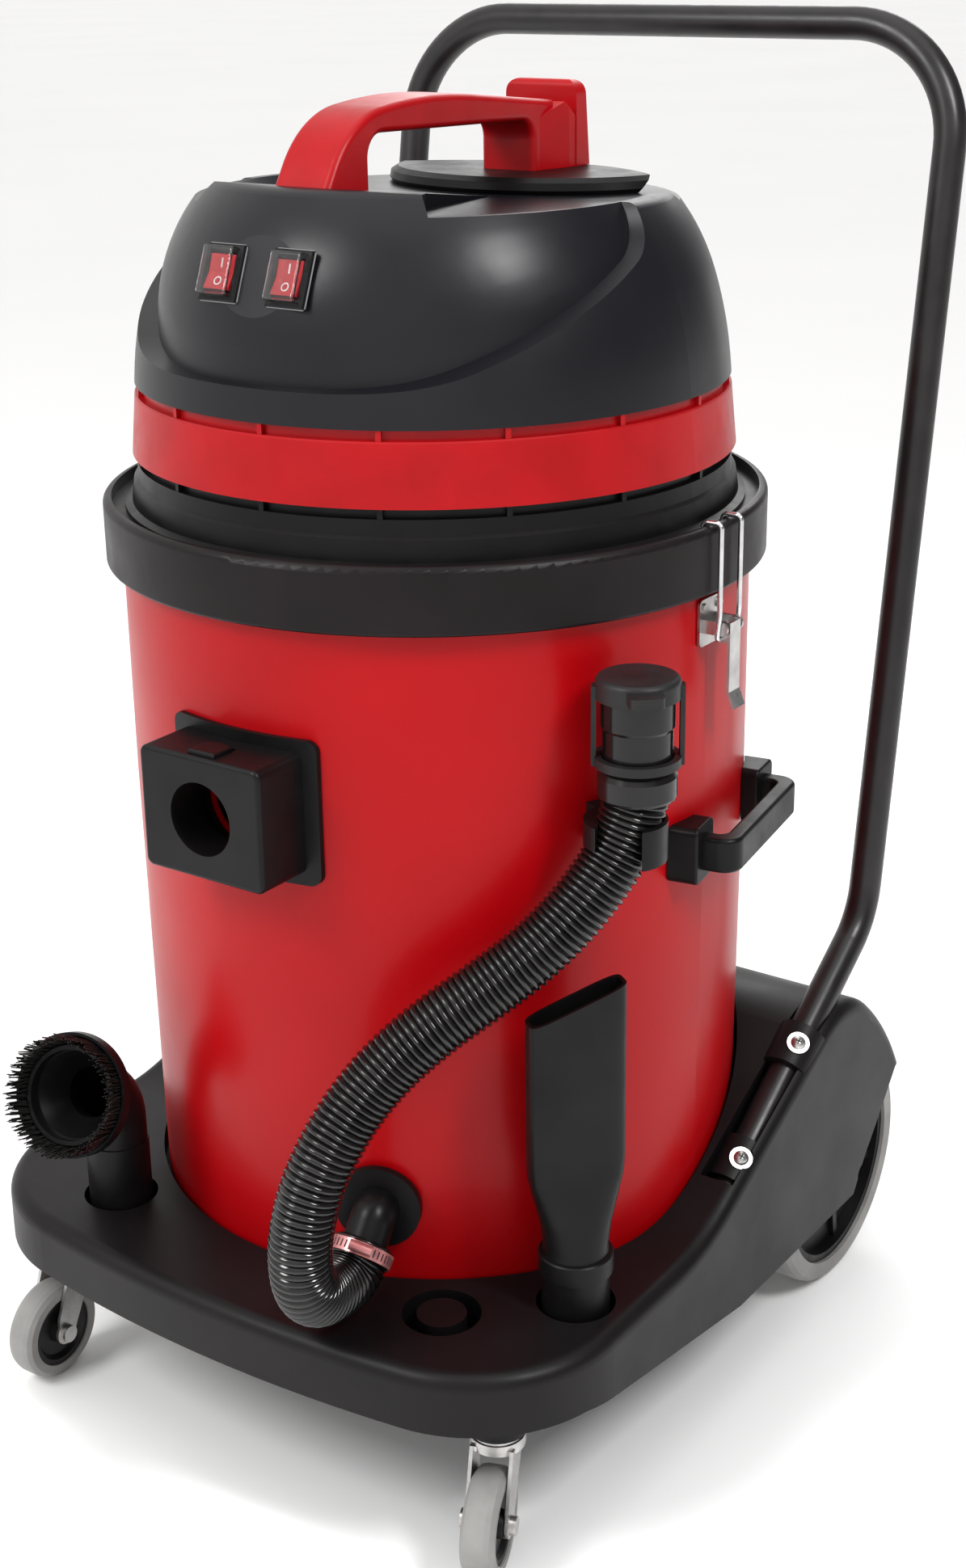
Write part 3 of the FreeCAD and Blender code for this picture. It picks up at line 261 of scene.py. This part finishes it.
def skin(rows, count, closed=False):
    """Faces between neighbouring loops of count points, and from the last to the first if closed."""
    faces = []
    for i in range(rows if closed else rows - 1):
        here = i * count
        there = (i + 1) % rows * count
        for k in range(count):
            j = (k + 1) % count
            faces.append((here + k, here + j, there + j, there + k))
    return faces


def facing(spot, out, along):
    """Matrix with its local z along out and its local y as near to along as it can be."""
    z = out.normalized()
    x = along.cross(z).normalized()
    y = z.cross(x)
    return Matrix.Translation(spot) @ Matrix((x, y, z)).transposed().to_4x4()


def new_object(name, verts, faces, slot, body, smooth):
    """A piece that rides on body. Edges over smooth degrees stay sharp; 0 leaves every face flat."""
    mesh = bpy.data.meshes.new(name)
    mesh.from_pydata([tuple(v) for v in verts], [], faces)
    mesh.validate()
    mesh.update()
    obj = add_object(name, mesh)
    if smooth:
        for face in mesh.polygons:
            face.use_smooth = True
        mesh.set_sharp_from_angle(angle=math.radians(smooth))
    mesh.materials.append(MATS[slot])
    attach(obj, body)
    return obj


def boxes_mesh(name, placed, slot, body):
    """One object of several boxes; each is (matrix, half sizes in mm)."""
    verts = []
    faces = []
    for matrix, half in placed:
        start = len(verts)
        for sx in (-1, 1):
            for sy in (-1, 1):
                for sz in (-1, 1):
                    verts.append(matrix @ (Vector((sx * half[0], sy * half[1], sz * half[2])) * MM))
        for face in ((0, 1, 3, 2), (4, 6, 7, 5), (0, 4, 5, 1), (2, 3, 7, 6), (0, 2, 6, 4), (1, 5, 7, 3)):
            faces.append(tuple(start + i for i in face))
    return new_object(name, verts, faces, slot, body, 0)


def ring_mesh(name, matrix, outer, inner, height, slot, body):
    """A flat ring of rectangular section between two matching loops, outer and inner."""
    verts = []
    for loop, z in ((outer, 0.0), (outer, height), (inner, height), (inner, 0.0)):
        verts += [matrix @ (Vector((x, y, z)) * MM) for x, y in loop]
    return new_object(name, verts, skin(4, len(outer), closed=True), slot, body, 30)


# ---------------------------------------------------------------- drain hose

HOSE_ROUTE = [
    (93, -226, 202), (94, -239, 189), (95, -256, 185), (97, -279, 190), (99, -295, 203),
    (101, -303, 223), (103, -304, 251), (107, -293, 289), (116, -268, 325), (131, -244, 354),
    (152, -220, 379), (175, -194, 400), (198, -167, 424), (216, -141, 453), (229, -117, 487),
    (233, -110, 516),
]
HOSE_R = 21.0 * MM
HOSE_SEGMENTS = 32
RIB_PITCH = 4.7 * MM
RIB_DEPTH = 2.3 * MM
RIB_SHAPE = (0.0, 0.55, 0.92, 1.0, 0.92, 0.55)    # height of one rib, from groove to groove
LINE_STEPS = 24            # between two points of the route
LINE_ORDER = 3
NEAR_END = 0.4             # part of a step


def hose_line():
    """Points along the hose's centreline, from the elbow to the cuff."""
    curve = bpy.data.curves.new("hose line", "CURVE")
    curve.dimensions = "3D"
    curve.resolution_u = LINE_STEPS
    spline = curve.splines.new("NURBS")
    spline.points.add(len(HOSE_ROUTE) - 1)
    for point, (x, y, z) in zip(spline.points, HOSE_ROUTE):
        point.co = (x * MM, (y - MIDDLE_Y) * MM, z * MM, 1)
    spline.order_u = LINE_ORDER
    spline.use_endpoint_u = True
    obj = add_object("hose line", curve)
    mesh = bpy.data.meshes.new_from_object(obj)
    points = [v.co.copy() for v in mesh.vertices]
    bpy.data.objects.remove(obj)
    bpy.data.meshes.remove(mesh)
    return points


def resample(points, step):
    """Points step apart along the line, and its end unless the last one is nearly there."""
    out = [points[0]]
    need = step
    for a, b in zip(points, points[1:]):
        gap = (b - a).length
        while gap >= need:
            a = a + (b - a).normalized() * need
            out.append(a)
            gap -= need
            need = step
        need -= gap
    if (out[-1] - points[-1]).length > step * NEAR_END:
        out.append(points[-1])
    return out


def tube_mesh(points, radii):
    """A round tube along points. Each ring is turned as little as possible from the last."""
    verts = []
    side = (points[1] - points[0]).normalized().orthogonal().normalized()
    last = len(points) - 1
    for i, point in enumerate(points):
        ahead = (points[min(i + 1, last)] - points[max(i - 1, 0)]).normalized()
        side = (side - ahead * side.dot(ahead)).normalized()
        other = ahead.cross(side)
        for k in range(HOSE_SEGMENTS):
            verts.append(point + spoke(side, other, k, HOSE_SEGMENTS) * radii[i])
    faces = skin(len(points), HOSE_SEGMENTS)
    faces.append(tuple(reversed(range(HOSE_SEGMENTS))))
    faces.append(tuple(range(last * HOSE_SEGMENTS, len(points) * HOSE_SEGMENTS)))
    return verts, faces


def make_hose():
    line = hose_line()
    length = sum((b - a).length for a, b in zip(line, line[1:]))
    ribs = round(length / RIB_PITCH)
    points = resample(line, length / (ribs * len(RIB_SHAPE)))
    radii = [HOSE_R - RIB_DEPTH * (1 - RIB_SHAPE[i % len(RIB_SHAPE)]) for i in range(len(points))]
    verts, faces = tube_mesh(points, radii)
    hose = new_object("ribbed_drain_hose", verts, faces, "hose_plastic", "root", 80)
    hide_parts("drain_hose")


make_hose()

# ---------------------------------------------------------------- brush hairs

# Lengths from here on are in mm; at() turns them into places in the frame
BRUSH_ELBOW = at(-140, -220, 245)
BRUSH_FACE = at(-131, -265, 264)
HAIR_ROWS = ((36.2, 120), (38.0, 130), (39.8, 140))    # radius of each row and how many hairs it has
HAIR_ROOT = 3.0            # from the brush's face to the hairs' roots
HAIR_LENGTH = (20.0, 23.8)
HAIR_LEAN_OUT = (0.5, 4.5)
HAIR_LEAN_ROUND = (-3.0, 3.0)
HAIR_ROOT_R = 1.0
HAIR_TIP_R = 0.45
HAIR_SEED = 5


def make_bristles():
    """Rows of stiff three-sided hairs set round the brush's ring, spread a little outwards."""
    rng = random.Random(HAIR_SEED)
    out = (BRUSH_FACE - BRUSH_ELBOW).normalized()
    side = out.orthogonal().normalized()
    other = out.cross(side)
    start = BRUSH_FACE + out * HAIR_ROOT * MM
    verts = []
    faces = []
    for r, count in HAIR_ROWS:
        for i in range(count):
            away = spoke(side, other, i + rng.random(), count)
            round_it = out.cross(away)
            root = start + away * r * MM
            lean = away * rng.uniform(*HAIR_LEAN_OUT) + round_it * rng.uniform(*HAIR_LEAN_ROUND)
            tip = root + (out * rng.uniform(*HAIR_LENGTH) + lean) * MM
            first = len(verts)
            for spot, thick in ((root, HAIR_ROOT_R), (tip, HAIR_TIP_R)):
                verts += [spot + spoke(away, round_it, k, 3) * thick * MM for k in range(3)]
            faces += [tuple(first + v for v in face) for face in skin(2, 3)]
            faces.append((first + 5, first + 4, first + 3))
            faces.append((first, first + 1, first + 2))
    hairs = new_object("brush_hairs", verts, faces, "bristle", BODY["brush_bristles"], 0)
    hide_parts("brush_bristles")


make_bristles()

# ---------------------------------------------------------------- switches

PANEL_TILT = 21.7          # degrees that the panel leans back
SWITCH_AT = (27.0, -181.0, 833.0)
SEAL_OUTER = (15.6, 18.6, 1.6)    # half width, half height and cut corner
SEAL_INNER = (14.9, 17.9, 1.4)
SEAL_LIFT = 0.1
SEAL_HEIGHT = 0.8
MARK_Y = 5.8               # from the rocker's middle to each mark
MARK_ON = (MARK_Y, 3.13, 3.1)     # y, height over the panel, and tilt in degrees of that end
MARK_OFF = (-MARK_Y, 4.17, -13.1)
MARK_ON_HALF = (0.55, 3.0, 0.16)
MARK_OFF_R = (2.9, 2.1)
MARK_OFF_HEIGHT = 0.16
MARK_SEGMENTS = 40


def tilted(matrix, spot, degrees):
    """Moved to spot, in metres, and tilted about the local x."""
    return matrix @ Matrix.Translation(spot) @ Matrix.Rotation(math.radians(degrees), 4, "X")


def cut_rectangle(w, h, c):
    """Points of a rectangle with half sizes w and h and corners cut by c."""
    return [(w - c, -h), (w, -h + c), (w, h - c), (w - c, h),
            (-w + c, h), (-w, h - c), (-w, -h + c), (-w + c, -h)]


def make_switch_details():
    """Seal round each switch, and the on and off marks on its rocker."""
    x, y, z = SWITCH_AT
    for name, side in (("right", 1), ("left", -1)):
        panel = tilted(Matrix(), at(side * x, y, z), 90 - PANEL_TILT)
        seal = panel @ Matrix.Translation((0, 0, SEAL_LIFT * MM))
        ring_mesh(f"switch_seal_{name}", seal, cut_rectangle(*SEAL_OUTER), cut_rectangle(*SEAL_INNER),
                  SEAL_HEIGHT, "seal_grey", BODY[f"switch_bezel_{name}"])
        body = BODY[f"switch_rocker_{name}"]
        on, off = (tilted(panel, Vector((0, *place)) * MM, tilt) for *place, tilt in (MARK_ON, MARK_OFF))
        boxes_mesh(f"rocker_mark_on_{name}", [(on, MARK_ON_HALF)], "mark_white", body)
        loops = [rounded_oval(r, r, 2, MARK_SEGMENTS) for r in MARK_OFF_R]
        ring_mesh(f"rocker_mark_off_{name}", off, *loops, MARK_OFF_HEIGHT, "mark_white", body)


make_switch_details()

# ---------------------------------------------------------------- handle screws and hose clamp, with painted shade in the screw recesses and clamp slots

LEG_FOOT = (238, 0, 163.6)
LEG_SLOPE = math.radians(33.4)
SCREW_RUNS = (33.5, 135.0)        # from the leg's foot along the leg
SCREW_TILT = math.radians(25.0)
SCREW_SEAT = 17.2          # from the tube's axis
SCREW_HEAD = 4.85          # from the seat to the top of the head, washer included
RECESS_ARMS = ((2.3, 0.5, 0.22), (0.5, 2.3, 0.22))


def make_screw_recess_shade():
    """Painted shade: thin dark crosses on the heads stand in for the shaded cross recesses of the four
    screws that hold the push handle.
    """
    along = Vector((0, math.cos(LEG_SLOPE), math.sin(LEG_SLOPE)))
    up = Vector((0, -along.z, along.y))
    x, y, z = LEG_FOOT
    placed = []
    for side in (-1, 1):
        out = up * math.cos(SCREW_TILT) + Vector((side, 0, 0)) * math.sin(SCREW_TILT)
        for run in SCREW_RUNS:
            spot = at(side * x, y, z) + (along * run + out * (SCREW_SEAT + SCREW_HEAD)) * MM
            placed += [(facing(spot, out, along), arm) for arm in RECESS_ARMS]
    # dark crosses are painted shade, not cut recesses
    boxes_mesh("painted_shade_screw_recesses", placed, "dark_recess", BODY["handle_screws"])


make_screw_recess_shade()

CLAMP_RUN = 7.5            # from the hose's start to the middle of the clamp
CLAMP_R = 22.2
CLAMP_SLOTS = 40
CLAMP_SLOT_HALF = (0.55, 2.6, 0.12)


def make_clamp_slot_shade():
    """Painted shade: thin dark patches round the clamp's band stand in for the shaded worm slots."""
    start = at(*HOSE_ROUTE[0])
    along = (at(*HOSE_ROUTE[1]) - start).normalized()
    side = along.orthogonal().normalized()
    other = along.cross(side)
    middle = start + along * CLAMP_RUN * MM
    placed = []
    for k in range(CLAMP_SLOTS):
        out = spoke(side, other, k, CLAMP_SLOTS)
        placed.append((facing(middle + out * CLAMP_R * MM, out, along), CLAMP_SLOT_HALF))
    # dark patches are painted shade, not cut slots
    boxes_mesh("painted_shade_clamp_slots", placed, "dark_recess", BODY["hose_clamp"])


make_clamp_slot_shade()

# ---------------------------------------------------------------- crevice tool

CREVICE_AT = (214.0, -152.0)
MOUTH_Z = 384.0
MOUTH_SLANT = 18.0         # degrees
CREVICE_SEGMENTS = 48
# Sections of the nozzle from its foot up and back down inside: half width, half thickness,
# height, and how square the section is (2 is an ellipse)
CREVICE_OUTSIDE = [
    (23.0, 23.0, 134.4, 2.0), (23.0, 23.0, 186.0, 2.0), (25.4, 25.4, 186.4, 2.0), (25.4, 25.4, 199.4, 2.0),
    (24.6, 24.6, 200.3, 2.0), (22.4, 22.4, 200.6, 2.0), (22.0, 21.5, 206.0, 2.0), (24.0, 19.0, 222.0, 2.3),
    (29.5, 14.5, 244.0, 3.0), (32.6, 12.0, 258.0, 4.0), (33.2, 11.2, 270.0, 4.5), (33.4, 10.6, MOUTH_Z, 4.5),
]
CREVICE_INSIDE = [
    (31.2, 8.4, MOUTH_Z, 4.5), (31.0, 9.0, 270.0, 4.5), (27.0, 12.0, 244.0, 3.0), (20.0, 17.0, 216.0, 2.0),
    (18.1, 18.1, 200.0, 2.0), (18.1, 18.1, 134.4, 2.0),
]


def make_crevice_tool():
    """Flat nozzle: straight-sided above a short shoulder, open at its slanted mouth."""
    turn = math.atan2(CREVICE_AT[0], -CREVICE_AT[1])
    place = Matrix.Translation(at(*CREVICE_AT, 0)) @ Matrix.Rotation(turn, 4, "Z")
    slant = math.tan(math.radians(MOUTH_SLANT))
    sections = CREVICE_OUTSIDE + CREVICE_INSIDE
    verts = []
    for half_w, half_t, z, square in sections:
        for x, y in rounded_oval(half_w, half_t, square, CREVICE_SEGMENTS):
            rise = x * slant if z == MOUTH_Z else 0.0
            verts.append(place @ (Vector((x, y, z + rise)) * MM))
    faces = skin(len(sections), CREVICE_SEGMENTS, closed=True)
    tool = new_object("crevice_nozzle", verts, faces, "black_plastic", BODY["crevice_tool"], 40)
    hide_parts("crevice_tool")


make_crevice_tool()

# ---------------------------------------------------------------- light and floor

DARK_SIDE = (0.819, 0.574, 0.0)
BRIGHT = (1.0, 0.99, 0.98, 1)
DARK = (0.16, 0.16, 0.17, 1)
FADE = (0.05, 0.75)        # how far towards the dark side it starts and ends
FLOOR_HALF = 60
# Place, target, size and power of each lamp, in metres and watts
LAMPS = {
    "key": ((-0.7, -1.9, 2.2), (0, 0, 0.6), (0.8, 0.8), 34),
    "side": ((1.7, -0.35, 2.2), (0, 0, 0.75), (0.30, 0.75), 34),
    "back": ((-0.8, 2.2, 1.8), (0, 0, 0.7), (1.6, 1.0), 16),
}
SUN_POWER = 0.55
SUN_ANGLE = math.radians(60)


def make_lamps():
    for name, (spot, target, size, power) in LAMPS.items():
        light = bpy.data.lights.new(name, "AREA")
        light.shape = "RECTANGLE"
        light.size, light.size_y = size
        light.energy = power
        obj = add_object(name, light)
        obj.location = spot
        obj.rotation_euler = (Vector(target) - Vector(spot)).to_track_quat("-Z", "Y").to_euler()
    sun = bpy.data.lights.new("overhead", "SUN")
    sun.energy = SUN_POWER
    sun.angle = SUN_ANGLE
    add_object("overhead", sun)


def make_world():
    """Soft white room that is darker to the right of the camera."""
    world = bpy.data.worlds.new("studio")
    bpy.context.scene.world = world
    world.use_nodes = True
    tree = world.node_tree
    background = tree.nodes["Background"]
    set_inputs(background, {"Strength": 1.0})
    across = tree.nodes.new("ShaderNodeVectorMath")
    across.operation = "DOT_PRODUCT"
    tree.links.new(tree.nodes.new("ShaderNodeTexCoord").outputs["Generated"], across.inputs[0])
    across.inputs[1].default_value = DARK_SIDE
    shade = ramp(tree, across.outputs["Value"], BRIGHT, DARK, *FADE)
    tree.links.new(shade, background.inputs["Color"])


def make_floor():
    corners = [(x * FLOOR_HALF, y * FLOOR_HALF, 0) for x, y in ((-1, -1), (1, -1), (1, 1), (-1, 1))]
    mesh = bpy.data.meshes.new("floor")
    mesh.from_pydata(corners, [], [(0, 1, 2, 3)])
    floor = add_object("floor", mesh)
    mesh.materials.append(finish_coat("floor", (0.95, 0.95, 0.95), (0.98, 0.98, 0.98), 0.8, patch=0.7,
                                      bump=0))


make_floor()
make_world()
make_lamps()
bpy.context.scene.view_settings.view_transform = "Standard"
